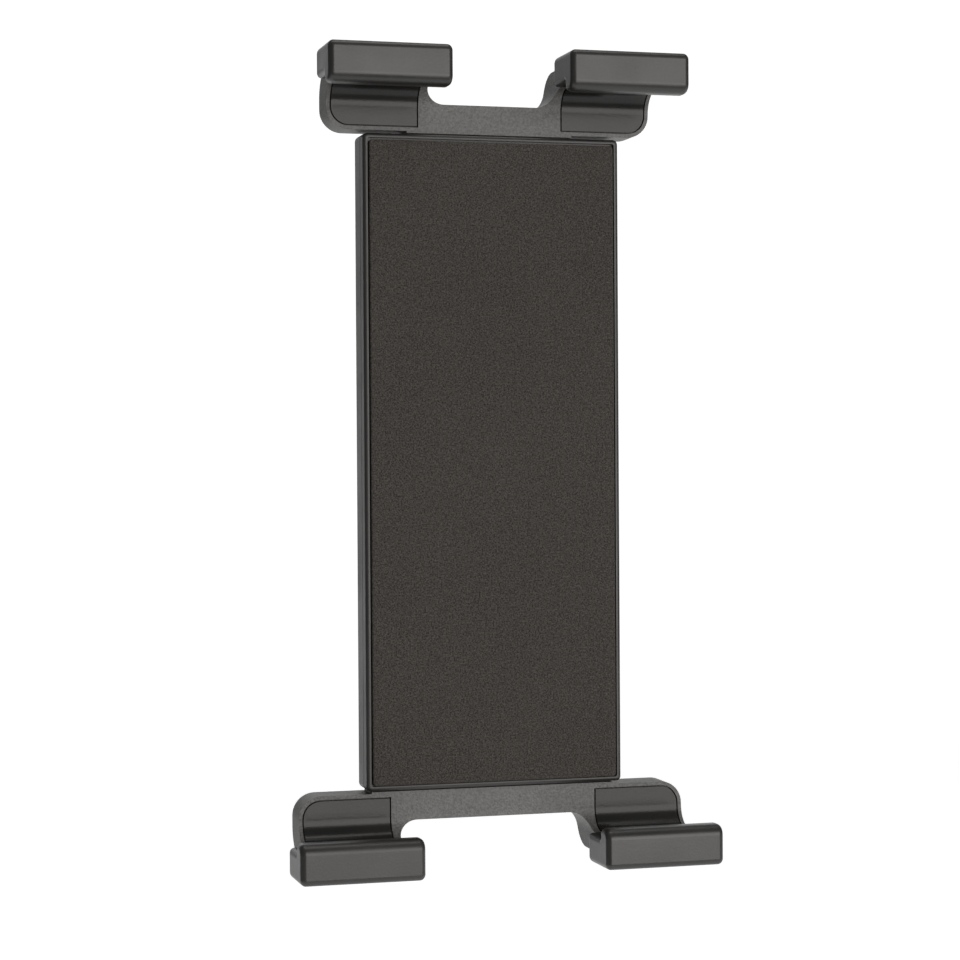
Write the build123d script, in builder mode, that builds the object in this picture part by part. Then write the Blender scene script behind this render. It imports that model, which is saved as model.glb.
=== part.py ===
from build123d import *
import math
import os

os.makedirs("parts", exist_ok=True)

# The origin is the middle of the rear mounting face, the tablet side faces -Y and the jaws slide along Z.
# Depths are counted from the front rim of the housing towards the rear, so a lip has a negative depth.

# Housing
plate_height = 160.0
plate_width = 65.1
plate_depth = 12.0
plate_corner = 1.2
rear_round = 3.2
seam_depth = 3.4
seam_gap = 0.3
lap_height = 0.6
side_wall = 1.2
end_wall = 1.5
rear_wall = 2.0
rim_width = 1.1
rim_round = 0.8
pad_recess = 1.1
pad_floor = 1.5

# Foam pad
pad_thick = 1.6
pad_gap = 0.35
pad_drop = 0.2
glue_gap = 0.05

# Fits
travel = 34.0
slide_fit = 0.3
seat_fit = 0.1
turn_fit = 0.15

# Jaws
upper_width = 82.4
lower_width = 98.2
bar_front = 2.1
bar_height = 6.7
jaw_relief = 0.9
land_gap = 0.45
upper_land = 42.2
lower_land = 61.8
base_corner = 5.5
arm_width = 23.0
heel_round = 8.0
heel_wall = 0.6
jaw_round = 2.0
core_wall = 2.4
core_floor = 2.0
core_rib = 1.2
core_draft = 1.0
notch_wall = 1.6
notch_round = 4.9

# Hooks
shelf_reach = 12.0
lip_reach = 9.2
grip_reach = 19.1
lip_front = 18.8
lip_thick = 5.8
grip_rim = 3.6
grip_over = 3.6
cove_round = 5.4
liner_thick = 1.3
liner_rim = 0.9
liner_groove = 0.35
finger_thick = 2.8
finger_tip = 15.5
grip_round = 1.4
lip_nook = 0.6

# Tongues
tongue_depth = 3.7
tongue_thick = 3.0
tongue_root = 3.0
rail_thick = 3.9
rail_short = 12.5
web_gap = 4.0
channel_width = 9.0
glide_x = 9.0
rib_thick = 1.5
stop_ear = 6.0
ear_gap = 0.4

# Racks and pinions
module_size = 0.8
pinion_teeth = 10
pressure_angle = 25.0
addendum = 0.7
dedendum = 0.9
backlash = 0.3
pin_radius = 1.5
pin_shoulder = 1.3

# Springs
spring_radius = 2.4
wire_radius = 0.35
neck_length = 2.0
post_z = 5.0
peg_end = 4.5
peg_tab = 4.4
tab_thick = 1.3
tab_over = 2.0
spring_depth = 6.6

# Screws and mount
boss_radius = 2.6
boss_top = 10.1
boss_low = 8.0
pilot_radius = 1.05
screw_radius = 1.0
screw_play = 0.4
screw_tip = 0.6
head_radius = 2.2
head_height = 1.0
head_chamfer = 0.4
head_sink = 0.15
slot_wall = 0.8
guide_gap = 3.4
mount_rise = 2.5
mount_x = 30.2
mount_z = 38.1
mount_margin = 4.2
mount_corner = 4.0
mount_chamfer = 0.6
insert_radius = 2.9
insert_bore = 2.0
insert_length = 5.5
insert_wall = 1.6

# Derived sizes
front = plate_depth + mount_rise
half_height = plate_height / 2
inner_half = plate_width / 2 - side_wall
cavity_height = plate_height - 2 * end_wall
cavity_front = pad_recess + pad_floor
cavity_rear = plate_depth - rear_wall
boss_depth = cavity_rear - seat_fit
jaw_inner = half_height + jaw_relief
bar_top = jaw_inner + bar_height
shelf = half_height + shelf_reach
lip_edge = half_height + lip_reach
grip_end = half_height + grip_reach
shoulder = seat_fit - grip_rim
finger_inner = shelf + liner_thick + seat_fit
finger_outer = finger_inner + finger_thick
heel_end = finger_outer + heel_wall
heel_z = heel_end - heel_round
core_depth = bar_front + liner_thick + seat_fit + core_floor
tongue_front = tongue_depth - slide_fit
tongue_rear = tongue_depth + tongue_thick
tongue_end = half_height + tongue_root
pitch = math.pi * module_size
pitch_radius = module_size * pinion_teeth / 2
tooth_thick = (pitch - backlash) / 2
upper_half = upper_land / 2 - slide_fit
rail_outer = inner_half - slide_fit
rail_inner = rail_outer - rail_thick
rail_middle = (rail_inner + rail_outer) / 2
rail_top = half_height - end_wall - rail_short
rail_length = rail_top + tongue_end
rail_pitch = rail_inner - dedendum
pinion_x = rail_pitch - pitch_radius
fork_pitch = pinion_x - pitch_radius
fork_root = fork_pitch - dedendum
pinion_room = pitch_radius + addendum + slide_fit
ear_top = pinion_room + stop_ear
rack_count = math.ceil((travel + pinion_room) / pitch) + 2
rack_steps = [pitch * (n - 1.5) for n in range(rack_count)]
fork_end = rack_steps[-1] + pitch / 2
web_top = fork_end + web_gap
peg_z = half_height - end_wall - travel - peg_end
spring_rear = spring_depth + tab_thick
boss_x = (upper_half + rail_inner) / 2
stop_z = ear_top + travel + boss_radius + slide_fit
top_boss_z = half_height - boss_top
mid_boss_z = -pinion_room - 2 * boss_radius
low_boss_z = boss_low - half_height
slot_half = boss_radius + slide_fit
slot_x = rail_inner - slot_wall - slot_half
guide_z = (stop_z + top_boss_z) / 2
guide_length = top_boss_z - stop_z - 2 * (boss_radius + guide_gap)
screw_spots = [(boss_x, top_boss_z), (pinion_x, mid_boss_z), (slot_x, low_boss_z)]
screw_places = [(side * x, z) for x, z in screw_spots for side in (-1, 1)]


def layer(depth):
    """Sketch plane at a depth; extruding a positive amount from it runs to the front."""
    return Plane.XZ.offset(front - depth)


def yz(depth, height):
    """Point of a side profile."""
    return (depth - front, height)


# Front frame: pad recess in front; screw bosses, stops, glide ribs and pin seats behind
with BuildPart() as front_frame:
    with BuildSketch(layer(seam_depth)):
        RectangleRounded(plate_width, plate_height, plate_corner)
    extrude(amount=seam_depth)
    fillet(front_frame.faces().sort_by(Axis.Y)[0].edges(), rim_round)
    with BuildSketch(layer(pad_recess)):
        RectangleRounded(plate_width - 2 * rim_width, plate_height - 2 * rim_width, plate_corner / 2)
    extrude(amount=pad_recess, mode=Mode.SUBTRACT)
    with BuildSketch(layer(seam_depth)):
        Rectangle(2 * inner_half, cavity_height)
    extrude(amount=seam_depth - cavity_front, mode=Mode.SUBTRACT)
    with BuildSketch(layer(seam_depth)):
        Rectangle(plate_width - side_wall + 2 * seat_fit, plate_height - end_wall + 2 * seat_fit)
    extrude(amount=lap_height + seat_fit, mode=Mode.SUBTRACT)
    with BuildSketch(layer(tongue_front)):
        with Locations((-glide_x, 0), (glide_x, 0)):
            Rectangle(rib_thick, cavity_height)
        with Locations((-pinion_x, 0), (pinion_x, 0)):
            Circle(pin_radius + pin_shoulder)
            Circle(pin_radius + turn_fit, mode=Mode.SUBTRACT)
    extrude(amount=tongue_front - cavity_front)
    with BuildSketch(layer(tongue_rear)):
        with Locations((-boss_x, stop_z), (boss_x, stop_z)):
            Rectangle(2 * boss_radius, 2 * boss_radius)
    extrude(amount=tongue_rear - cavity_front)
    with BuildSketch(layer(boss_depth)):
        with Locations(*screw_places):
            Circle(boss_radius)
    extrude(amount=boss_depth - cavity_front)
    with BuildSketch(layer(boss_depth)):
        with Locations(*screw_places):
            Circle(pilot_radius)
    extrude(amount=boss_depth - cavity_front - seat_fit, mode=Mode.SUBTRACT)
front_frame.part.label = "front_frame"
export_step(front_frame.part, "parts/front_frame.step")

# Foam pad: sheet stuck in the recess, standing a little proud of the rim
with BuildPart() as foam_pad:
    with BuildSketch(layer(pad_recess - glue_gap)):
        pad_inset = 2 * (rim_width + pad_gap)
        with Locations((0, -pad_drop)):
            RectangleRounded(plate_width - pad_inset, plate_height - pad_inset, plate_corner / 2)
    extrude(amount=pad_thick)
foam_pad.part.label = "foam_pad"
export_step(foam_pad.part, "parts/foam_pad.step")

# Rear cover: tray with a lap joint, mouths for the tongues, posts, guide ribs and the mounting pad
with BuildPart() as rear_cover:
    with BuildSketch(layer(plate_depth)):
        RectangleRounded(plate_width, plate_height, plate_corner)
    extrude(amount=plate_depth - seam_depth - seam_gap)
    fillet(rear_cover.faces().sort_by(Axis.Y)[-1].edges(), rear_round)
    with BuildSketch(layer(seam_depth + seam_gap)):
        Rectangle(plate_width - side_wall, plate_height - end_wall)
    extrude(amount=seam_gap + lap_height)
    with BuildSketch(layer(cavity_rear)):
        Rectangle(2 * inner_half, cavity_height)
    extrude(amount=cavity_rear, mode=Mode.SUBTRACT)
    with BuildSketch(layer(tongue_rear + slide_fit)):
        with Locations((0, half_height)):
            Rectangle(upper_land, 3 * end_wall)
        with Locations((0, -half_height)):
            Rectangle(2 * inner_half, 3 * end_wall)
    extrude(amount=tongue_rear + slide_fit, mode=Mode.SUBTRACT)
    with BuildSketch(layer(cavity_rear)):
        with Locations((rail_inner, -half_height), (-rail_inner, -half_height)):
            Rectangle(2 * (inner_half - rail_inner), 3 * end_wall)
    extrude(amount=cavity_rear, mode=Mode.SUBTRACT)
    with BuildSketch(layer(front)):
        RectangleRounded(mount_x + 2 * mount_margin, mount_z + 2 * mount_margin, mount_corner)
    extrude(amount=mount_rise + rear_wall / 2)
    chamfer(rear_cover.faces().sort_by(Axis.Y)[-1].edges(), mount_chamfer)
    with BuildSketch(layer(plate_depth)):
        with GridLocations(mount_x, mount_z, 2, 2):
            Circle(insert_radius + insert_wall)
    extrude(amount=insert_length + insert_wall - mount_rise)
    with BuildSketch(layer(plate_depth - rear_wall / 2)):
        with Locations((-pinion_x, 0), (pinion_x, 0)):
            Circle(pin_radius + pin_shoulder)
    extrude(amount=plate_depth - rear_wall / 2 - tongue_rear - slide_fit)
    with BuildSketch(layer(cavity_rear)):
        with Locations((-pinion_x, 0), (pinion_x, 0)):
            Circle(pin_radius)
    extrude(amount=cavity_rear - cavity_front - slide_fit)
    with BuildSketch(layer(plate_depth - rear_wall / 2)):
        with Locations((0, -post_z), (0, post_z)):
            Circle(pin_radius)
    extrude(amount=plate_depth - rear_wall / 2 - spring_depth + spring_radius)
    with BuildSketch(layer(plate_depth - rear_wall / 2)):
        with Locations(*[(side * (upper_land + rib_thick) / 2, guide_z) for side in (-1, 1)]):
            Rectangle(rib_thick, guide_length)
    extrude(amount=plate_depth - rear_wall / 2 - tongue_depth)
    with BuildSketch(layer(front)):
        with GridLocations(mount_x, mount_z, 2, 2):
            Circle(insert_radius + seat_fit)
    extrude(amount=insert_length + seat_fit, mode=Mode.SUBTRACT)
    with BuildSketch(layer(plate_depth)):
        with Locations(*screw_places):
            Circle(screw_radius + screw_play)
    extrude(amount=rear_wall, mode=Mode.SUBTRACT)
    with BuildSketch(layer(plate_depth)):
        with Locations(*screw_places):
            Circle(head_radius + screw_play)
    extrude(amount=head_height + head_sink, mode=Mode.SUBTRACT)
rear_cover.part.label = "rear_cover"
export_step(rear_cover.part, "parts/rear_cover.step")


def arm_profile(inset):
    """Side profile of a hook's arm, set back from its skin: floor, cove, finger, then round the heel."""
    floor = bar_front + inset
    inner = shelf + inset
    radius = cove_round + inset
    centre = floor - radius
    diagonal = radius * math.sqrt(0.5)
    heel = heel_round * math.sqrt(0.5)
    with BuildLine() as line:
        Polyline(
            yz(plate_depth, heel_z),
            yz(plate_depth, jaw_inner),
            yz(floor, jaw_inner),
            yz(floor, inner - radius),
        )
        ThreePointArc(
            yz(floor, inner - radius),
            yz(centre + diagonal, inner - radius + diagonal),
            yz(centre, inner),
        )
        Polyline(
            yz(centre, inner),
            yz(-finger_tip, inner),
            yz(-finger_tip, finger_outer),
            yz(shoulder, finger_outer),
            yz(shoulder, heel_end),
            yz(plate_depth - heel_round, heel_end),
        )
        ThreePointArc(
            yz(plate_depth - heel_round, heel_end),
            yz(plate_depth - heel_round + heel, heel_z + heel),
            yz(plate_depth, heel_z),
        )
    return line


def liner_block(half, clear, depth):
    """Skin of the upper right arm to a depth, held inside the arm's rim by a clearance."""
    edge = liner_rim + clear
    with BuildPart() as block:
        with BuildSketch(Plane.YZ.offset(half - arm_width + clear)):
            add(arm_profile(0).line)
            make_face()
        extrude(amount=arm_width - clear - edge)
        with BuildSketch(Plane.YZ.offset(half - arm_width)):
            add(arm_profile(depth).line)
            make_face()
        extrude(amount=arm_width, mode=Mode.SUBTRACT)
        with BuildSketch(layer(plate_depth)):
            with Locations((half, jaw_inner)):
                Rectangle(2 * arm_width, 2 * edge)
        extrude(amount=plate_depth + lip_front, mode=Mode.SUBTRACT)
        base = jaw_inner + edge + seat_fit
        corner = block.edges().filter_by(Axis.Y).filter_by(lambda e: e.center().Z < base)
        fillet(corner.sort_by(Axis.X)[-1], base_corner - edge)
    return block.part


def jaw_head(width, land):
    """Cross-bar with two arms cored from behind, drawn as the upper jaw."""
    half = width / 2
    skin = arm_profile(0)
    seat = liner_block(half, 0, liner_thick + seat_fit)
    with BuildPart() as bar:
        with BuildSketch(layer(plate_depth)):
            with Locations((0, jaw_inner)):
                Rectangle(width - 2 * arm_width, heel_end - jaw_inner, align=(Align.CENTER, Align.MIN))
            with Locations((0, bar_top)):
                RectangleRounded(
                    width - 2 * (arm_width + notch_wall),
                    2 * grip_reach,
                    notch_round,
                    align=(Align.CENTER, Align.MIN),
                    mode=Mode.SUBTRACT,
                )
        extrude(amount=plate_depth - shoulder)
        with BuildSketch(Plane.YZ.offset(-half)):
            add(skin.line)
            make_face()
        extrude(amount=width, mode=Mode.INTERSECT)
    with BuildPart() as arms:
        with BuildSketch(Plane.YZ.offset(half - arm_width)):
            add(skin.line)
            make_face()
        extrude(amount=arm_width)
        corners = arms.edges().filter_by(Axis.Y).filter_by(lambda e: e.center().Z < jaw_inner + seat_fit)
        fillet(corners.sort_by(Axis.X)[-1], base_corner)
        add(seat, mode=Mode.SUBTRACT)
        with BuildSketch(layer(shoulder)):
            with Locations((half - arm_width / 2, finger_inner)):
                Rectangle(2 * arm_width, 2 * (liner_thick + seat_fit), align=(Align.CENTER, Align.MAX))
        extrude(amount=finger_tip, mode=Mode.SUBTRACT)
        mirror(about=Plane.YZ)
    with BuildSketch(layer(plate_depth)) as pockets:
        with Locations((half - arm_width / 2, jaw_inner)):
            Rectangle(arm_width, heel_z - jaw_inner, align=(Align.CENTER, Align.MIN))
        fillet(pockets.vertices().sort_by_distance((half, -front, jaw_inner))[0], base_corner)
        offset(amount=-core_wall, mode=Mode.REPLACE)
        with Locations((half - arm_width / 2, jaw_inner)):
            Rectangle(core_rib, 2 * heel_round, mode=Mode.SUBTRACT)
        mirror(about=Plane.YZ)
    with BuildPart() as head:
        add(bar.part)
        add(arms.part)
        rear = head.faces().sort_by(Axis.Y)[-1]
        fillet(rear.edges().filter_by(lambda e: e.center().Z < bar_top), jaw_round)
        extrude(pockets.sketch, amount=plate_depth - core_depth, taper=core_draft, mode=Mode.SUBTRACT)
        with BuildSketch(layer(plate_depth - jaw_round)):
            with Locations((0, half_height + land_gap)):
                Rectangle(land, jaw_relief - land_gap, align=(Align.CENTER, Align.MIN))
        extrude(amount=plate_depth - jaw_round - bar_front)
    return head.part


# Rack teeth: one tooth of the straight rack, pointing to +X
root_width = tooth_thick + 2 * dedendum * math.tan(math.radians(pressure_angle))
with BuildSketch() as rack_tooth:
    Trapezoid(
        root_width,
        addendum + dedendum,
        90 - pressure_angle,
        rotation=-90,
        align=(Align.CENTER, Align.MIN),
    )

# Upper jaw: its tongue is a fork whose outer edges carry racks, with ears that meet the stops
upper_head = jaw_head(upper_width, upper_land)
with BuildPart() as upper_jaw:
    add(upper_head)
    with BuildSketch(layer(tongue_rear)):
        with Locations((0, pinion_room)):
            Rectangle(2 * upper_half, tongue_end - pinion_room, align=(Align.CENTER, Align.MIN))
            Rectangle(2 * (boss_x - ear_gap), stop_ear, align=(Align.CENTER, Align.MIN))
        with Locations((0, -fork_end)):
            Rectangle(2 * fork_root, fork_end + ear_top, align=(Align.CENTER, Align.MIN))
            Rectangle(
                channel_width,
                fork_end + peg_z + 2 * pin_radius,
                align=(Align.CENTER, Align.MIN),
                mode=Mode.SUBTRACT,
            )
        with Locations(*[(fork_root, -z) for z in rack_steps]):
            add(rack_tooth.sketch)
        with Locations(*[Location((-fork_root, -z), 180) for z in rack_steps]):
            add(rack_tooth.sketch)
    extrude(amount=tongue_thick)
    with BuildSketch(layer(tongue_depth + tab_thick)):
        with Locations((0, peg_z - tab_over)):
            Rectangle(peg_tab, 2 * tab_over + 2 * pin_radius, align=(Align.CENTER, Align.MIN))
    extrude(amount=tab_thick)
    with BuildSketch(layer(spring_rear)):
        with Locations((0, peg_z)):
            Circle(pin_radius)
    extrude(amount=spring_rear - tongue_depth - tab_thick / 2)
upper_jaw.part.label = "upper_jaw"
export_step(upper_jaw.part, "parts/upper_jaw.step")

# Lower jaw: its tongue is a slotted web with two long rails that run outside the fork
lower_head = mirror(jaw_head(lower_width, lower_land), about=Plane.XY)
rail_places = [(-rail_middle, rail_top), (rail_middle, rail_top)]
with BuildPart() as lower_jaw:
    add(lower_head)
    with BuildSketch(layer(tongue_rear)):
        with Locations((0, -tongue_end)):
            Rectangle(2 * rail_outer, tongue_end - web_top, align=(Align.CENTER, Align.MIN))
        with Locations((0, 0)):
            Rectangle(
                channel_width,
                peg_z + 2 * pin_radius,
                align=(Align.CENTER, Align.MAX),
                mode=Mode.SUBTRACT,
            )
        with Locations(*[(side * slot_x, low_boss_z - slot_half) for side in (-1, 1)]):
            Rectangle(2 * slot_half, half_height, align=(Align.CENTER, Align.MIN), mode=Mode.SUBTRACT)
        with Locations(*[(-rail_inner, z) for z in rack_steps]):
            add(rack_tooth.sketch)
        with Locations(*[Location((rail_inner, z), 180) for z in rack_steps]):
            add(rack_tooth.sketch)
        with Locations(*rail_places):
            Rectangle(rail_thick, rail_length, align=(Align.CENTER, Align.MAX))
    extrude(amount=tongue_thick)
    with BuildSketch(layer(cavity_rear - slide_fit)):
        with Locations(*rail_places):
            Rectangle(rail_thick, rail_length, align=(Align.CENTER, Align.MAX))
    extrude(amount=cavity_rear - slide_fit - tongue_depth)
    with BuildSketch(layer(tongue_depth + tab_thick)):
        with Locations((0, tab_over - peg_z)):
            Rectangle(peg_tab, half_height + tab_over - peg_z, align=(Align.CENTER, Align.MAX))
    extrude(amount=tab_thick)
    with BuildSketch(layer(spring_rear)):
        with Locations((0, -peg_z)):
            Circle(pin_radius)
    extrude(amount=spring_rear - tongue_depth - tab_thick / 2)
lower_jaw.part.label = "lower_jaw"
export_step(lower_jaw.part, "parts/lower_jaw.step")


def hook_grip(width):
    """Soft grip of the upper right hook: floor liner, cove and lip round the arm's finger."""
    half = width / 2
    lip_back = lip_thick - lip_front
    with BuildPart() as block:
        with BuildSketch(Plane.YZ.offset(half - arm_width - grip_over)) as profile:
            with BuildLine():
                Polyline(
                    yz(-grip_rim, shelf),
                    yz(lip_back, shelf),
                    yz(lip_back, lip_edge),
                    yz(-lip_front, lip_edge),
                    yz(-lip_front, grip_end),
                    yz(-grip_rim, grip_end),
                    close=True,
                )
            make_face()
            nook = profile.vertices().sort_by_distance((*yz(lip_back, shelf), 0))[0]
            fillet(nook, lip_nook)
        extrude(amount=arm_width + 2 * grip_over)
        ends = block.faces().filter_by(Axis.X)
        fillet(ends.edges(), grip_round)
    liner = liner_block(half, liner_groove, liner_thick)
    with BuildPart() as grip:
        add(block.part)
        add(liner)
        with BuildSketch(layer(shoulder)):
            with Locations((half - arm_width / 2, (finger_inner + finger_outer) / 2)):
                Rectangle(arm_width + 2 * seat_fit, finger_thick + 2 * seat_fit)
        extrude(amount=finger_tip + 2 * seat_fit - grip_rim, mode=Mode.SUBTRACT)
    return grip.part


# Hook grips: four alike, two to each jaw
for place, width in (("upper", upper_width), ("lower", lower_width)):
    right_grip = hook_grip(width)
    if place == "lower":
        right_grip = mirror(right_grip, about=Plane.XY)
    left_grip = mirror(right_grip, about=Plane.YZ)
    for side, grip in (("left", left_grip), ("right", right_grip)):
        grip.label = f"{place}_{side}_grip"
        export_step(grip, f"parts/{place}_{side}_grip.step")


def involute(radius):
    """Turn of the involute at a radius, from its start on the base circle."""
    angle = math.acos(base_radius / radius)
    return math.tan(angle) - angle


def flank(radius, side):
    """Point of a tooth's flank at a radius, the tooth pointing to +X."""
    half_tooth = tooth_thick / 2 / pitch_radius + involute(pitch_radius) - involute(radius)
    return (radius * math.cos(side * half_tooth), radius * math.sin(side * half_tooth))


# Pinions: involute teeth that mesh with the fork on one side and a rail on the other
base_radius = pitch_radius * math.cos(math.radians(pressure_angle))
tip_radius = pitch_radius + addendum
mid_radius = (base_radius + tip_radius) / 2
with BuildSketch() as pinion_tooth:
    with BuildLine():
        Polyline(flank(base_radius, -1), (0, 0), flank(base_radius, 1))
        ThreePointArc(flank(base_radius, 1), flank(mid_radius, 1), flank(tip_radius, 1))
        ThreePointArc(flank(tip_radius, 1), (tip_radius, 0), flank(tip_radius, -1))
        ThreePointArc(flank(tip_radius, -1), flank(mid_radius, -1), flank(base_radius, -1))
    make_face()
for side, name in ((-1, "left_pinion"), (1, "right_pinion")):
    with BuildPart() as pinion:
        with BuildSketch(layer(tongue_rear)):
            with Locations((side * pinion_x, 0)):
                Circle(pitch_radius - dedendum)
                with PolarLocations(0, pinion_teeth):
                    add(pinion_tooth.sketch)
                Circle(pin_radius + turn_fit, mode=Mode.SUBTRACT)
        extrude(amount=tongue_thick)
    pinion.part.label = name
    export_step(pinion.part, f"parts/{name}.step")

# Springs: close-wound tension springs with an eye at each end, the coil drawn as a plain rod
eye_inner = pin_radius + turn_fit
eye_outer = eye_inner + 2 * wire_radius
spring_y = spring_depth - front
with BuildPart() as upper_spring:
    with BuildSketch(Plane.XY.offset(post_z + eye_outer + neck_length)):
        with Locations((0, spring_y)):
            Circle(spring_radius)
    extrude(amount=peg_z - post_z - 2 * (eye_outer + neck_length))
    with BuildSketch(layer(spring_depth + wire_radius)):
        with Locations((0, (post_z + peg_z) / 2)):
            Rectangle(2 * wire_radius, peg_z - post_z - 2 * eye_inner - 2 * wire_radius)
        with Locations((0, post_z), (0, peg_z)):
            Circle(eye_outer)
            Circle(eye_inner, mode=Mode.SUBTRACT)
    extrude(amount=2 * wire_radius)
upper_spring.part.label = "upper_spring"
export_step(upper_spring.part, "parts/upper_spring.step")
lower_spring = mirror(upper_spring.part, about=Plane.XY)
lower_spring.label = "lower_spring"
export_step(lower_spring, "parts/lower_spring.step")

# Housing screws: low heads sunk in the rear cover, shanks in the front frame's bosses
head_top = plate_depth - head_sink
with BuildPart() as housing_screws:
    with BuildSketch(layer(head_top)):
        with Locations(*screw_places):
            Circle(head_radius)
    extrude(amount=head_height)
    chamfer(housing_screws.faces().sort_by(Axis.Y)[-len(screw_places):].edges(), head_chamfer)
    with BuildSketch(layer(head_top - head_height / 2)):
        with Locations(*screw_places):
            Circle(screw_radius)
    extrude(amount=head_top - head_height / 2 - cavity_front - screw_tip)
housing_screws.part.label = "housing_screws"
export_step(housing_screws.part, "parts/housing_screws.step")

# Mount inserts: brass bushes flush with the mounting face
with BuildPart() as mount_inserts:
    with BuildSketch(layer(front)):
        with GridLocations(mount_x, mount_z, 2, 2):
            Circle(insert_radius)
            Circle(insert_bore, mode=Mode.SUBTRACT)
    extrude(amount=insert_length)
mount_inserts.part.label = "mount_inserts"
export_step(mount_inserts.part, "parts/mount_inserts.step")
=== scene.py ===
import math

import bmesh
import bpy
from mathutils import Matrix, Vector


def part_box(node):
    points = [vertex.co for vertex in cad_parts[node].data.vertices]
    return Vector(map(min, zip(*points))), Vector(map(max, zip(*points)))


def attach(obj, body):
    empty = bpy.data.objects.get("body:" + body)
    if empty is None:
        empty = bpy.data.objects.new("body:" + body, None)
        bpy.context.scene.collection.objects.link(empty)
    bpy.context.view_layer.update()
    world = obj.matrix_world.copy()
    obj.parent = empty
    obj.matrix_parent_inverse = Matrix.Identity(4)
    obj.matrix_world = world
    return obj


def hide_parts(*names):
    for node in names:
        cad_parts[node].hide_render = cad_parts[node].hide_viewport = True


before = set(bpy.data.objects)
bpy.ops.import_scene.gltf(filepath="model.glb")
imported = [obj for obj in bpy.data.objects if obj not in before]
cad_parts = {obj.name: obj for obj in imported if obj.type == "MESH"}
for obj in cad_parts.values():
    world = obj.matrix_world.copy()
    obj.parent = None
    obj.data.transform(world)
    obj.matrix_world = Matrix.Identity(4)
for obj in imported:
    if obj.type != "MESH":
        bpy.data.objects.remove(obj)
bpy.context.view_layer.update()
scene = bpy.context.scene
scene.view_settings.view_transform = "Standard"

# Camera: a long lens, almost level, that sees the tablet side from a little to the left.
# Its turn, distance and focal length are fitted to the holder's edges, and its picture is square.
camera_yaw = math.radians(-15.479)
camera_pitch = math.radians(0.612)
camera_roll = math.radians(-0.347)
camera_aim = Vector((-0.003654, -0.0145, -0.004489))
camera_distance = 0.5931
picture_pixels = 960
focal_pixels = 2414
sensor_mm = 36
forward = Vector((
    -math.sin(camera_yaw) * math.cos(camera_pitch),
    math.cos(camera_yaw) * math.cos(camera_pitch),
    -math.sin(camera_pitch),
))
level_right = forward.cross(Vector((0, 0, 1))).normalized()
level_up = level_right.cross(forward)
camera_right = math.cos(camera_roll) * level_right + math.sin(camera_roll) * level_up
camera_up = math.cos(camera_roll) * level_up - math.sin(camera_roll) * level_right
camera_turn = Matrix((camera_right, camera_up, -forward)).transposed().to_4x4()
camera = bpy.data.objects.new("camera", bpy.data.cameras.new("camera"))
camera.data.sensor_fit = "HORIZONTAL"
camera.data.sensor_width = sensor_mm
camera.data.lens = focal_pixels * sensor_mm / picture_pixels
camera.data.clip_start = 0.01
camera.matrix_world = Matrix.Translation(camera_aim - camera_distance * forward) @ camera_turn
scene.collection.objects.link(camera)
scene.camera = camera

# Studio: a sheet of pale paper that runs from the floor up into a backdrop.
# The floor lies well below the holder, which hangs on its bracket. The paper is lifted to white for
# the camera and in reflections, and the world round it is a plain dim grey.
floor_level = -0.26
sweep_left, sweep_right = -0.5, 1.9
sweep_front, sweep_top = -0.3, 2.2
bend_start, bend_round, bend_steps = 1.2, 0.6, 9
paper_grey, paper_white, world_grey = 0.86, 0.75, 0.20
sweep = [(sweep_front, 0.0)]
for step in range(bend_steps + 1):
    a = math.radians(90 * step / bend_steps)
    sweep.append((bend_start + bend_round * math.sin(a), bend_round - bend_round * math.cos(a)))
sweep.append((bend_start + bend_round, sweep_top))
count = len(sweep)
floor_mesh = bpy.data.meshes.new("floor")
floor_mesh.from_pydata(
    [(x, y, z + floor_level) for x in (sweep_left, sweep_right) for y, z in sweep],
    [],
    [(n, count + n, count + n + 1, n + 1) for n in range(count - 1)],
)
floor_mesh.shade_smooth()
floor = bpy.data.objects.new("floor", floor_mesh)
scene.collection.objects.link(floor)
paper = bpy.data.materials.new("pale paper")
paper.use_nodes = True
nodes, links = paper.node_tree.nodes, paper.node_tree.links
nodes.clear()
paper_diffuse = nodes.new("ShaderNodeBsdfDiffuse")
paper_diffuse.inputs["Color"].default_value = (paper_grey, paper_grey, paper_grey, 1)
paper_glow = nodes.new("ShaderNodeEmission")
paper_path = nodes.new("ShaderNodeLightPath")
paper_seen = nodes.new("ShaderNodeMath")
paper_seen.operation = "MAXIMUM"
paper_shown = nodes.new("ShaderNodeMath")
paper_shown.operation = "MAXIMUM"
paper_lift = nodes.new("ShaderNodeMath")
paper_lift.operation = "MULTIPLY"
paper_lift.inputs[1].default_value = paper_white
paper_add = nodes.new("ShaderNodeAddShader")
paper_out = nodes.new("ShaderNodeOutputMaterial")
links.new(paper_path.outputs["Is Camera Ray"], paper_seen.inputs[0])
links.new(paper_path.outputs["Is Glossy Ray"], paper_seen.inputs[1])
links.new(paper_seen.outputs[0], paper_shown.inputs[0])
links.new(paper_path.outputs["Is Transmission Ray"], paper_shown.inputs[1])
links.new(paper_shown.outputs[0], paper_lift.inputs[0])
links.new(paper_lift.outputs[0], paper_glow.inputs["Strength"])
links.new(paper_diffuse.outputs[0], paper_add.inputs[0])
links.new(paper_glow.outputs[0], paper_add.inputs[1])
links.new(paper_add.outputs[0], paper_out.inputs["Surface"])
floor_mesh.materials.append(paper)
world = bpy.data.worlds.new("studio")
scene.world = world
world.use_nodes = True
sky = world.node_tree.nodes["Background"]
sky.inputs["Color"].default_value = (world_grey, world_grey, world_grey, 1)
sky.inputs["Strength"].default_value = 1

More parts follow.
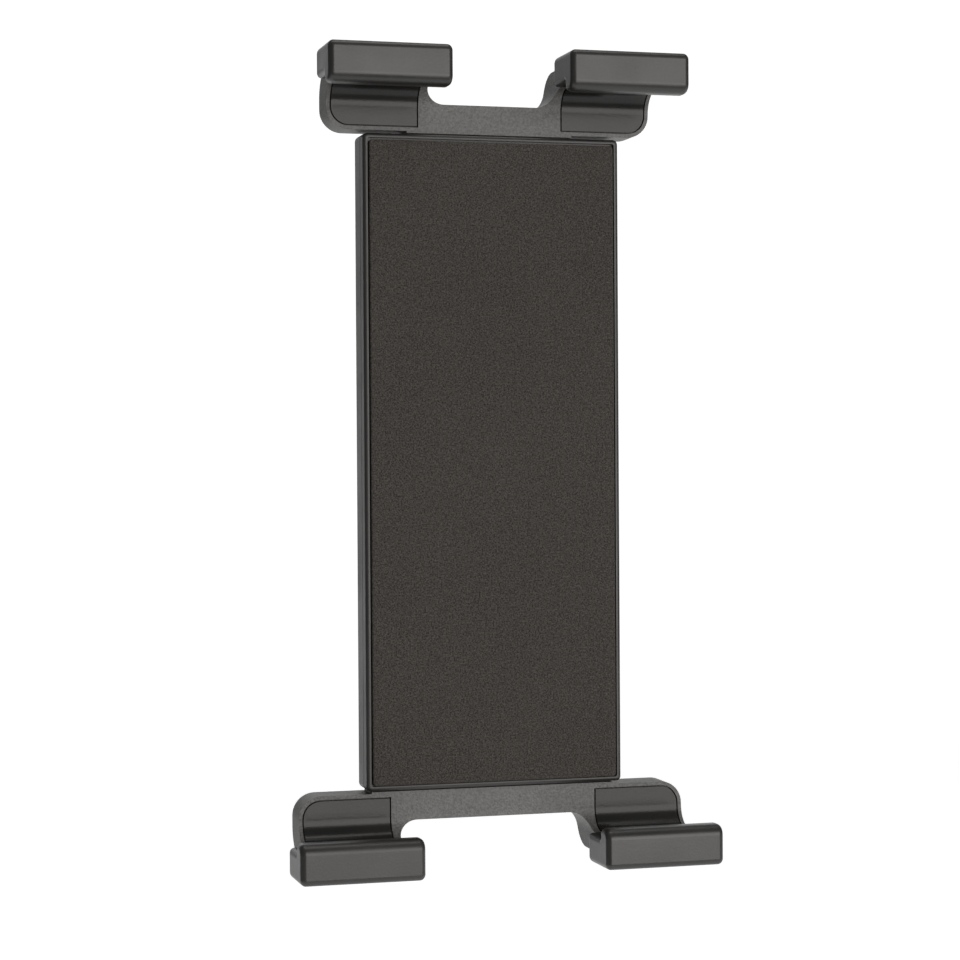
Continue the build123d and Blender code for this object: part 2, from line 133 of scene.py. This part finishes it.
# Lights: one wide softbox before the tablet side and a smaller, weaker one overhead.
# Both are slightly warm and turned to the middle of the holder.
light_aim = Vector((0, -0.02, 0))
light_tint = (1.0, 0.975, 0.95)
for name, spot, width, height, power in (
    ("front softbox", Vector((0.40, -1.25, 0.05)), 1.0, 0.9, 11.5),
    ("overhead softbox", Vector((0.0, -0.05, 1.1)), 0.8, 0.5, 3.5),
):
    lamp = bpy.data.lights.new(name, "AREA")
    lamp.shape = "RECTANGLE"
    lamp.size = width
    lamp.size_y = height
    lamp.energy = power
    lamp.color = light_tint
    softbox = bpy.data.objects.new(name, lamp)
    softbox.location = spot
    softbox.rotation_euler = (light_aim - spot).to_track_quat("-Z", "Y").to_euler()
    scene.collection.objects.link(softbox)


# Housing: front frame and rear cover, two black mouldings that meet at a shadow line.
# They are of satin plastic with the fine grain of a lightly blasted mould, and screws hold them together.
def grain_group():
    """Moulded grain: a fine height for the bump, its speckle and a slow drift of colour and gloss."""
    tree = bpy.data.node_groups.new("moulded grain", "ShaderNodeTree")
    for label in ("Scale", "Drift Scale", "Speckle"):
        tree.interface.new_socket(label, in_out="INPUT", socket_type="NodeSocketFloat")
    for label in ("Height", "Mask", "Drift"):
        tree.interface.new_socket(label, in_out="OUTPUT", socket_type="NodeSocketFloat")
    start = tree.nodes.new("NodeGroupInput")
    end = tree.nodes.new("NodeGroupOutput")
    place = tree.nodes.new("ShaderNodeTexCoord")
    fine = tree.nodes.new("ShaderNodeTexNoise")
    fine.inputs["Detail"].default_value = 3
    fine.inputs["Roughness"].default_value = 0.6
    drift = tree.nodes.new("ShaderNodeTexNoise")
    drift.inputs["Detail"].default_value = 4
    mask = tree.nodes.new("ShaderNodeMix")
    tree.links.new(place.outputs["Object"], fine.inputs["Vector"])
    tree.links.new(place.outputs["Object"], drift.inputs["Vector"])
    tree.links.new(start.outputs["Scale"], fine.inputs["Scale"])
    tree.links.new(start.outputs["Drift Scale"], drift.inputs["Scale"])
    tree.links.new(start.outputs["Speckle"], mask.inputs["Factor"])
    tree.links.new(drift.outputs["Fac"], mask.inputs["A"])
    tree.links.new(fine.outputs["Fac"], mask.inputs["B"])
    tree.links.new(fine.outputs["Fac"], end.inputs["Height"])
    tree.links.new(mask.outputs["Result"], end.inputs["Mask"])
    tree.links.new(drift.outputs["Fac"], end.inputs["Drift"])
    return tree


moulded_grain = grain_group()


def grained_finish(name, *, dark, light, smooth, rough, scale, drift, speckle, depth, metallic=0, shine=0.5):
    """Moulded or turned finish: grain and drift vary its colour, drift its gloss, grain makes its bump."""
    material = bpy.data.materials.new(name)
    material.use_nodes = True
    tree = material.node_tree
    shader = tree.nodes["Principled BSDF"]
    shader.inputs["Metallic"].default_value = metallic
    shader.inputs["Specular IOR Level"].default_value = shine
    grain = tree.nodes.new("ShaderNodeGroup")
    grain.node_tree = moulded_grain
    grain.inputs["Scale"].default_value = scale
    grain.inputs["Drift Scale"].default_value = drift
    grain.inputs["Speckle"].default_value = speckle
    tint = tree.nodes.new("ShaderNodeValToRGB")
    tint_stops = (0.34, 0.66)
    for stop, position, colour in zip(tint.color_ramp.elements, tint_stops, (dark, light)):
        stop.position = position
        stop.color = (*colour, 1)
    gloss = tree.nodes.new("ShaderNodeMapRange")
    gloss.name = "gloss"
    gloss.inputs["From Min"].default_value = 0.3
    gloss.inputs["From Max"].default_value = 0.7
    gloss.inputs["To Min"].default_value = smooth
    gloss.inputs["To Max"].default_value = rough
    bump = tree.nodes.new("ShaderNodeBump")
    bump.inputs["Strength"].default_value = 1
    bump.inputs["Distance"].default_value = depth
    tree.links.new(grain.outputs["Mask"], tint.inputs["Fac"])
    tree.links.new(grain.outputs["Drift"], gloss.inputs["Value"])
    tree.links.new(grain.outputs["Height"], bump.inputs["Height"])
    tree.links.new(tint.outputs["Color"], shader.inputs["Base Color"])
    tree.links.new(gloss.outputs["Result"], shader.inputs["Roughness"])
    tree.links.new(bump.outputs["Normal"], shader.inputs["Normal"])
    return material


def give_finish(material, *pieces):
    """One finish on each of the named mouldings or turned pieces."""
    for piece in pieces:
        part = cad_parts[piece]
        part.data.materials.clear()
        part.data.materials.append(material)


housing_plastic = grained_finish(
    "satin housing plastic", dark=(0.017, 0.0165, 0.016), light=(0.029, 0.028, 0.027),
    smooth=0.34, rough=0.44, scale=2600, drift=55, speckle=0.5, depth=0.00003,
)
give_finish(housing_plastic, "front_frame", "rear_cover")


# Foam pad: a sheet of fine black cell foam that cushions the rear of the tablet.
# It is die-cut with small corner rounds and stuck in the front frame's recess. Its cut edge is softly
# rounded, and its face shows the open cells as a fine speckle.
def lofted(name, rings):
    """Closed mesh through rings with equal counts of points."""
    solid = bmesh.new()
    loops = [[solid.verts.new(point) for point in ring] for ring in rings]
    for one, two in zip(loops, loops[1:]):
        for n in range(len(one)):
            m = (n + 1) % len(one)
            solid.faces.new((one[n], one[m], two[m], two[n]))
    solid.faces.new(loops[0][::-1])
    solid.faces.new(loops[-1])
    bmesh.ops.recalc_face_normals(solid, faces=solid.faces)
    made = bpy.data.meshes.new(name)
    solid.to_mesh(made)
    solid.free()
    return made


pad_corner, pad_edge, pad_steps = 0.0009, 0.00045, 6
low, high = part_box("foam_pad")
pad_back, pad_face = high[1], low[1]
middle_x, middle_z = (low[0] + high[0]) / 2, (low[2] + high[2]) / 2
reach_x, reach_z = (high[0] - low[0]) / 2 - pad_corner, (high[2] - low[2]) / 2 - pad_corner
# The outline lists the middle of each corner's round, with the directions out from it.
pad_outline = []
for sign_x, sign_z, first in ((1, 1, 0), (-1, 1, 90), (-1, -1, 180), (1, -1, 270)):
    for step in range(pad_steps + 1):
        a = math.radians(first + 90 * step / pad_steps)
        pad_outline.append((sign_x * reach_x, sign_z * reach_z, math.cos(a), math.sin(a)))
pad_profile = [(0.0, pad_back)]
for step in range(pad_steps + 1):
    a = math.radians(90 * step / pad_steps)
    pad_profile.append((pad_edge * (1 - math.cos(a)), pad_face + pad_edge * (1 - math.sin(a))))
pad_rings = []
for inset, y in pad_profile:
    radius = pad_corner - inset
    pad_rings.append([(middle_x + x + radius * out_x, y, middle_z + z + radius * out_z)
                      for x, z, out_x, out_z in pad_outline])
pad_mesh = lofted("foam_sheet", pad_rings)
pad = bpy.data.objects.new("foam_sheet", pad_mesh)
scene.collection.objects.link(pad)
foam_dark, foam_light = (0.026, 0.0235, 0.021, 1), (0.105, 0.096, 0.087, 1)
foam_stops = (0.38, 0.72)
cell_scale, cell_depth, cloud_scale, cloud_share = 2600, 0.0001, 30, 0.06
foam = bpy.data.materials.new("black cell foam")
foam.use_nodes = True
nodes, links = foam.node_tree.nodes, foam.node_tree.links
foam_shader = nodes["Principled BSDF"]
foam_shader.inputs["Roughness"].default_value = 0.95
foam_shader.inputs["Specular IOR Level"].default_value = 0.2
foam_place = nodes.new("ShaderNodeTexCoord")
foam_cells = nodes.new("ShaderNodeTexVoronoi")
foam_cells.inputs["Scale"].default_value = cell_scale
foam_specks = nodes.new("ShaderNodeTexNoise")
foam_specks.inputs["Scale"].default_value = cell_scale
foam_specks.inputs["Detail"].default_value = 2
foam_specks.inputs["Roughness"].default_value = 0.7
foam_cloud = nodes.new("ShaderNodeTexNoise")
foam_cloud.inputs["Scale"].default_value = cloud_scale
foam_cloud.inputs["Detail"].default_value = 3
foam_blend = nodes.new("ShaderNodeMath")
foam_blend.operation = "MULTIPLY_ADD"
foam_blend.inputs[1].default_value = cloud_share
foam_tint = nodes.new("ShaderNodeValToRGB")
for stop, position, colour in zip(foam_tint.color_ramp.elements, foam_stops, (foam_dark, foam_light)):
    stop.position = position
    stop.color = colour
foam_bump = nodes.new("ShaderNodeBump")
foam_bump.inputs["Strength"].default_value = 1
foam_bump.inputs["Distance"].default_value = cell_depth
links.new(foam_place.outputs["Object"], foam_cells.inputs["Vector"])
links.new(foam_place.outputs["Object"], foam_specks.inputs["Vector"])
links.new(foam_place.outputs["Object"], foam_cloud.inputs["Vector"])
links.new(foam_cloud.outputs["Fac"], foam_blend.inputs[0])
links.new(foam_specks.outputs["Fac"], foam_blend.inputs[2])
links.new(foam_blend.outputs[0], foam_tint.inputs["Fac"])
links.new(foam_tint.outputs["Color"], foam_shader.inputs["Base Color"])
links.new(foam_cells.outputs["Distance"], foam_bump.inputs["Height"])
links.new(foam_bump.outputs["Normal"], foam_shader.inputs["Normal"])
pad_mesh.materials.append(foam)
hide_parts("foam_pad")
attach(pad, "housing")

# Jaws: two black mouldings, each a cross-bar with two arms and a tongue that slides in the housing.
# The bars have a coarser, spark-eroded stipple than the housing, which catches more of the light.
jaw_plastic = grained_finish(
    "stippled jaw plastic", dark=(0.035, 0.033, 0.031), light=(0.115, 0.111, 0.106),
    smooth=0.44, rough=0.54, scale=1800, drift=40, speckle=0.8, depth=0.00016, shine=0.85,
)
give_finish(jaw_plastic, "upper_jaw", "lower_jaw")

# Hook grips: four soft black elastomer sleeves, each pushed over a finger of a jaw.
# A lip with rounded edges stands in front, and a thin liner covers the cove and the floor behind it.
# Floor and cove come from a polished mould, the lips are satin.
low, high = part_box("upper_right_grip")
hook_left, hook_right, hook_foot, hook_top = low[0], high[0], low[2], high[2]
lip_front = low[1]
rim_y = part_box("front_frame")[0][1]
shelf_thick, lip_height, lip_thick, sleeve_back = 0.0071, 0.0099, 0.0058, 0.0036
edge_round, nose_round, nook_round, seat_round, end_round = 0.0016, 0.0026, 0.0006, 0.0002, 0.0014
least_round = 0.00002
shelf_z, lip_z = hook_top - shelf_thick, hook_top - lip_height
block_back, lip_back = rim_y - sleeve_back, lip_front + lip_thick
# The lip block's side profile has six corners, each with its depth, height and round.
lip_corners = [
    (block_back, shelf_z, seat_round),
    (block_back, hook_top, edge_round),
    (lip_front, hook_top, edge_round),
    (lip_front, lip_z, nose_round),
    (lip_back, lip_z, edge_round),
    (lip_back, shelf_z, nook_round),
]
round_steps = 10
quarter = [math.radians(90 * n / round_steps) for n in range(round_steps + 1)]


def lip_ring(x, inset):
    """Side profile of the lip block, drawn in from its skin, with every corner rounded."""
    ring = []
    for n, (y, z, radius) in enumerate(lip_corners):
        here = Vector((y, z))
        came = (here - Vector(lip_corners[n - 1][:2])).normalized()
        goes = (Vector(lip_corners[(n + 1) % len(lip_corners)][:2]) - here).normalized()
        inward = Vector((-came.y - goes.y, came.x + goes.x))
        hollow = came.x * goes.y - came.y * goes.x < 0
        reach = max(radius + inset if hollow else radius - inset, least_round)
        for a in quarter:
            point = here + inset * inward + reach * (goes - came + math.sin(a) * came - math.cos(a) * goes)
            ring.append((x, point.x, point.y))
    return ring


def settled(thing):
    """Plain mesh of an object with its modifiers applied."""
    bpy.context.view_layer.update()
    return bpy.data.meshes.new_from_object(thing.evaluated_get(bpy.context.evaluated_depsgraph_get()))


end_rounding = [(end_round * (1 - math.sin(a)), end_round * (1 - math.cos(a))) for a in quarter]
left_end = [lip_ring(hook_left + along, inset) for along, inset in end_rounding]
right_end = [lip_ring(hook_right - along, inset) for along, inset in end_rounding]
block = bpy.data.objects.new("lip block", lofted("lip block", left_end[::-1] + right_end))

# Finger room: the hollow in each sleeve that takes the jaw's finger, open to the rear.
liner_thick, side_wall, front_wall, top_wall, room_past = 0.0013, 0.0035, 0.0032, 0.0028, 0.0006
room_low, room_high = shelf_z + liner_thick, hook_top - top_wall
room_back, room_front = block_back + room_past, lip_front + front_wall
room = [(room_back, room_low), (room_front, room_low), (room_front, room_high), (room_back, room_high)]
room_rings = [[(x, y, z) for y, z in room] for x in (hook_left + side_wall, hook_right - side_wall)]
cutter = bpy.data.objects.new("finger room", lofted("finger room", room_rings))
for item in (block, cutter):
    scene.collection.objects.link(item)
cut = block.modifiers.new("finger room", "BOOLEAN")
cut.operation = "DIFFERENCE"
cut.solver = "EXACT"
cut.object = cutter
lip_mesh = settled(block)
for item in (block, cutter):
    bpy.data.objects.remove(item)

# Liner: it runs from its foot on the bar up the cove, and its tip is tucked into the lip block.
cove_round, cove_ahead, foot_round = 0.0054, 0.0033, 0.00425
liner_inset, liner_outset, tip_tuck, tip_step = 0.00395, 0.00485, 0.0005, 0.00005
cove_y, cove_z = rim_y - cove_ahead, shelf_z - cove_round
back_round = cove_round + liner_thick
liner_in, liner_out = hook_left + liner_inset, hook_right - liner_outset


def liner_ring(x):
    """Side profile of the liner: up its face to the tip, and down its back to the foot."""
    over = max(x - liner_out + foot_round, 0)
    foot = hook_foot + foot_round - math.sqrt(max(foot_round ** 2 - over ** 2, 0))
    side = [(cove_y + cove_round, foot)]
    side += [(cove_y + cove_round * math.cos(a), cove_z + cove_round * math.sin(a)) for a in quarter]
    side += [(block_back - tip_tuck, shelf_z + tip_step), (block_back - tip_tuck, shelf_z + liner_thick)]
    side += [(cove_y + back_round * math.cos(a), cove_z + back_round * math.sin(a)) for a in quarter[::-1]]
    side += [(cove_y + back_round, foot)]
    return [(x, y, z) for y, z in side]


foot_places = [liner_out - foot_round * (1 - math.sin(a)) for a in quarter]
liner_mesh = lofted("liner", [liner_ring(x) for x in [liner_in] + foot_places])
grip_rubber = grained_finish(
    "soft hook rubber", dark=(0.013, 0.0125, 0.012), light=(0.023, 0.022, 0.021),
    smooth=0.34, rough=0.42, scale=1900, drift=70, speckle=0.4, depth=0.00002,
)
floor_rough, floor_shine, lip_shine = 0.21, 0.26, 0.58
polish_ahead, polish_behind = 0.0003, 0.0001
nodes, links = grip_rubber.node_tree.nodes, grip_rubber.node_tree.links
rubber_shader = nodes["Principled BSDF"]
rubber_place = nodes.new("ShaderNodeTexCoord")
rubber_axes = nodes.new("ShaderNodeSeparateXYZ")
floor_side = nodes.new("ShaderNodeMapRange")
floor_side.inputs["From Min"].default_value = block_back - polish_ahead
floor_side.inputs["From Max"].default_value = block_back + polish_behind
polish = nodes.new("ShaderNodeMix")
polish.inputs["B"].default_value = floor_rough
sheen = nodes.new("ShaderNodeMix")
sheen.inputs["A"].default_value = lip_shine
sheen.inputs["B"].default_value = floor_shine
links.new(rubber_place.outputs["Object"], rubber_axes.inputs[0])
links.new(rubber_axes.outputs["Y"], floor_side.inputs["Value"])
links.new(floor_side.outputs["Result"], polish.inputs["Factor"])
links.new(floor_side.outputs["Result"], sheen.inputs["Factor"])
links.new(nodes["gloss"].outputs["Result"], polish.inputs["A"])
links.new(polish.outputs["Result"], rubber_shader.inputs["Roughness"])
links.new(sheen.outputs["Result"], rubber_shader.inputs["Specular IOR Level"])
crease_angle = math.radians(35)
for place, body, rise in (("upper", "upper_jaw", 1), ("lower", "lower_jaw", -1)):
    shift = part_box(place + "_right_grip")[0][0] - hook_left
    for side, hand in (("right", 1), ("left", -1)):
        both = bmesh.new()
        both.from_mesh(lip_mesh)
        both.from_mesh(liner_mesh)
        both.transform(Matrix.Diagonal((hand, 1, rise, 1)) @ Matrix.Translation((shift, 0, 0)))
        if hand * rise < 0:
            bmesh.ops.reverse_faces(both, faces=both.faces)
        hook_mesh = bpy.data.meshes.new(f"{place}_{side}_hook")
        both.to_mesh(hook_mesh)
        both.free()
        hook_mesh.shade_smooth()
        hook_mesh.set_sharp_from_angle(angle=crease_angle)
        hook_mesh.materials.append(grip_rubber)
        hook = bpy.data.objects.new(f"{place}_{side}_hook", hook_mesh)
        scene.collection.objects.link(hook)
        even = hook.modifiers.new("even normals", "WEIGHTED_NORMAL")
        even.keep_sharp = True
        evened = settled(hook)
        hook.modifiers.clear()
        hook.data = evened
        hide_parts(f"{place}_{side}_grip")
        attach(hook, body)

# Pinions: two gears that mesh with the racks of both tongues, so that the jaws open alike.
# They are moulded in natural acetal and turn on posts of the rear cover.
acetal = grained_finish(
    "natural acetal", dark=(0.62, 0.60, 0.55), light=(0.70, 0.68, 0.63),
    smooth=0.30, rough=0.40, scale=900, drift=80, speckle=0.3, depth=0.00001,
)
give_finish(acetal, "left_pinion", "right_pinion")

# Springs: two tension springs of bright steel wire that pull the jaws in.
# They are wound close, and their eyes hang on posts and pegs inside the housing; each coil's light and shade
# is painted into the wire's colour as bands along the spring.
# Painted shade and highlight: a wave along the spring sets the base colour from dark to light once per coil.
painted_coil_shade, painted_coil_highlight = (0.12, 0.12, 0.12, 1), (0.62, 0.62, 0.62, 1)
coil_scale, coil_depth = 450, 0.0002
spring_steel = bpy.data.materials.new("wound spring wire")
spring_steel.use_nodes = True
nodes, links = spring_steel.node_tree.nodes, spring_steel.node_tree.links
wire_shader = nodes["Principled BSDF"]
wire_shader.inputs["Metallic"].default_value = 1
wire_shader.inputs["Roughness"].default_value = 0.28
wire_place = nodes.new("ShaderNodeTexCoord")
coils = nodes.new("ShaderNodeTexWave")
coils.bands_direction = "Z"
coils.inputs["Scale"].default_value = coil_scale
wire_bump = nodes.new("ShaderNodeBump")
wire_bump.inputs["Distance"].default_value = coil_depth
painted_coil_bands = nodes.new("ShaderNodeValToRGB")
for stop, colour in zip(painted_coil_bands.color_ramp.elements, (painted_coil_shade, painted_coil_highlight)):
    stop.color = colour
links.new(wire_place.outputs["Object"], coils.inputs["Vector"])
links.new(coils.outputs["Fac"], wire_bump.inputs["Height"])
links.new(coils.outputs["Fac"], painted_coil_bands.inputs["Fac"])
links.new(painted_coil_bands.outputs["Color"], wire_shader.inputs["Base Color"])
links.new(wire_bump.outputs["Normal"], wire_shader.inputs["Normal"])
give_finish(spring_steel, "upper_spring", "lower_spring")

# Screws: six self-tapping screws of black zinc steel with a cross recess in the head.
# They are driven from the rear into the front frame's bosses and hold the housing together.
# One screw is turned in a node tree and set on the six places of the plain screws' heads.
zinc = grained_finish(
    "black zinc", dark=(0.050, 0.050, 0.053), light=(0.075, 0.075, 0.080),
    smooth=0.30, rough=0.42, scale=3000, drift=300, speckle=0.5, depth=0.00001, metallic=0.8,
)
low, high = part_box("housing_screws")
head_reach, face_band = 0.006, 0.00001
# The points on the plain screws' faces are sorted by screw; their middles are the places.
heads = []
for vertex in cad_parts["housing_screws"].data.vertices:
    if vertex.co.y > high[1] - face_band:
        head = next((known for known in heads if (known[0] - vertex.co).length < head_reach), None)
        if head is None:
            heads.append([vertex.co.copy()])
        else:
            head.append(vertex.co.copy())
screw_mesh = bpy.data.meshes.new("cross_screws")
screw_mesh.from_pydata([sum(head, Vector()) / len(head) for head in heads], [], [])
screws = bpy.data.objects.new("cross_screws", screw_mesh)
scene.collection.objects.link(screws)
screw_sides = 40
screw_sizes = {
    "Head Radius": 0.0022,
    "Head Height": 0.001,
    "Edge": 0.0004,
    "Shank Radius": 0.001,
    "Length": high[1] - low[1],
    "Recess Width": 0.0006,
    "Recess Span": 0.0026,
    "Recess Depth": 0.0007,
}
screw_tree = bpy.data.node_groups.new("cross screw", "GeometryNodeTree")
nodes, links, sockets = screw_tree.nodes, screw_tree.links, screw_tree.interface
sockets.new_socket("Geometry", in_out="INPUT", socket_type="NodeSocketGeometry")
screw_inputs = {}
for label in screw_sizes:
    screw_inputs[label] = sockets.new_socket(label, in_out="INPUT", socket_type="NodeSocketFloat")
screw_inputs["Finish"] = sockets.new_socket("Finish", in_out="INPUT", socket_type="NodeSocketMaterial")
sockets.new_socket("Geometry", in_out="OUTPUT", socket_type="NodeSocketGeometry")
sizes = nodes.new("NodeGroupInput").outputs
screw_end = nodes.new("NodeGroupOutput")


def worked_out(first, operation, second):
    """Size worked out from another size and a second size or a number."""
    sum_node = screw_tree.nodes.new("ShaderNodeMath")
    sum_node.operation = operation
    screw_tree.links.new(first, sum_node.inputs[0])
    if isinstance(second, (int, float)):
        sum_node.inputs[1].default_value = second
    else:
        screw_tree.links.new(second, sum_node.inputs[1])
    return sum_node.outputs[0]


def turned(bottom, top, height, base):
    """Turned cone or cylinder, closed at both ends, that stands on a height along the screw's axis."""
    cone = screw_tree.nodes.new("GeometryNodeMeshCone")
    cone.inputs["Vertices"].default_value = screw_sides
    for value, label in ((bottom, "Radius Bottom"), (top, "Radius Top"), (height, "Depth")):
        screw_tree.links.new(value, cone.inputs[label])
    lift = screw_tree.nodes.new("ShaderNodeCombineXYZ")
    screw_tree.links.new(base, lift.inputs["Z"])
    moved = screw_tree.nodes.new("GeometryNodeTransform")
    screw_tree.links.new(cone.outputs["Mesh"], moved.inputs["Geometry"])
    screw_tree.links.new(lift.outputs[0], moved.inputs["Translation"])
    return moved.outputs["Geometry"]


flat_top = worked_out(sizes["Head Radius"], "SUBTRACT", sizes["Edge"])
head_side = worked_out(sizes["Head Height"], "SUBTRACT", sizes["Edge"])
edge_base = worked_out(sizes["Edge"], "MULTIPLY", -1)
head_base = worked_out(sizes["Head Height"], "MULTIPLY", -1)
shank_base = worked_out(sizes["Length"], "MULTIPLY", -1)
recess_height = worked_out(sizes["Recess Depth"], "MULTIPLY", 2)
head_edge = turned(sizes["Head Radius"], flat_top, sizes["Edge"], edge_base)
head_body = turned(sizes["Head Radius"], sizes["Head Radius"], head_side, head_base)
shank = turned(sizes["Shank Radius"], sizes["Shank Radius"], sizes["Length"], shank_base)
union = nodes.new("GeometryNodeMeshBoolean")
union.operation = "UNION"
union.solver = "EXACT"
for solid in (head_edge, head_body, shank):
    links.new(solid, union.inputs["Mesh 2"])
recess = nodes.new("GeometryNodeMeshBoolean")
recess.operation = "DIFFERENCE"
recess.solver = "EXACT"
links.new(union.outputs["Mesh"], recess.inputs["Mesh 1"])
for across, along in (("X", "Y"), ("Y", "X")):
    slot_size = nodes.new("ShaderNodeCombineXYZ")
    links.new(sizes["Recess Width"], slot_size.inputs[across])
    links.new(sizes["Recess Span"], slot_size.inputs[along])
    links.new(recess_height, slot_size.inputs["Z"])
    slot = nodes.new("GeometryNodeMeshCube")
    links.new(slot_size.outputs[0], slot.inputs["Size"])
    links.new(slot.outputs["Mesh"], recess.inputs["Mesh 2"])
lay = nodes.new("GeometryNodeTransform")
lay.inputs["Rotation"].default_value = (math.radians(-90), 0, 0)
spread = nodes.new("GeometryNodeInstanceOnPoints")
realize = nodes.new("GeometryNodeRealizeInstances")
coat = nodes.new("GeometryNodeSetMaterial")
links.new(recess.outputs["Mesh"], lay.inputs["Geometry"])
links.new(sizes["Geometry"], spread.inputs["Points"])
links.new(lay.outputs["Geometry"], spread.inputs["Instance"])
links.new(spread.outputs["Instances"], realize.inputs["Geometry"])
links.new(realize.outputs["Geometry"], coat.inputs["Geometry"])
links.new(sizes["Finish"], coat.inputs["Material"])
links.new(coat.outputs["Geometry"], screw_end.inputs["Geometry"])
modifier = screws.modifiers.new("cross screw", "NODES")
modifier.node_group = screw_tree
for label, value in screw_sizes.items():
    modifier[screw_inputs[label].identifier] = value
modifier[screw_inputs["Finish"].identifier] = zinc
driven = settled(screws)
screws.modifiers.clear()
screws.data = driven
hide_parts("housing_screws")
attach(screws, "housing")

# Inserts: four threaded bushes that take the bracket's screws.
# They are turned from brass and pressed into the mounting pad of the rear cover.
brass = grained_finish(
    "turned brass", dark=(0.56, 0.40, 0.17), light=(0.68, 0.50, 0.24),
    smooth=0.24, rough=0.36, scale=2500, drift=200, speckle=0.5, depth=0.00001, metallic=1,
)
give_finish(brass, "mount_inserts")
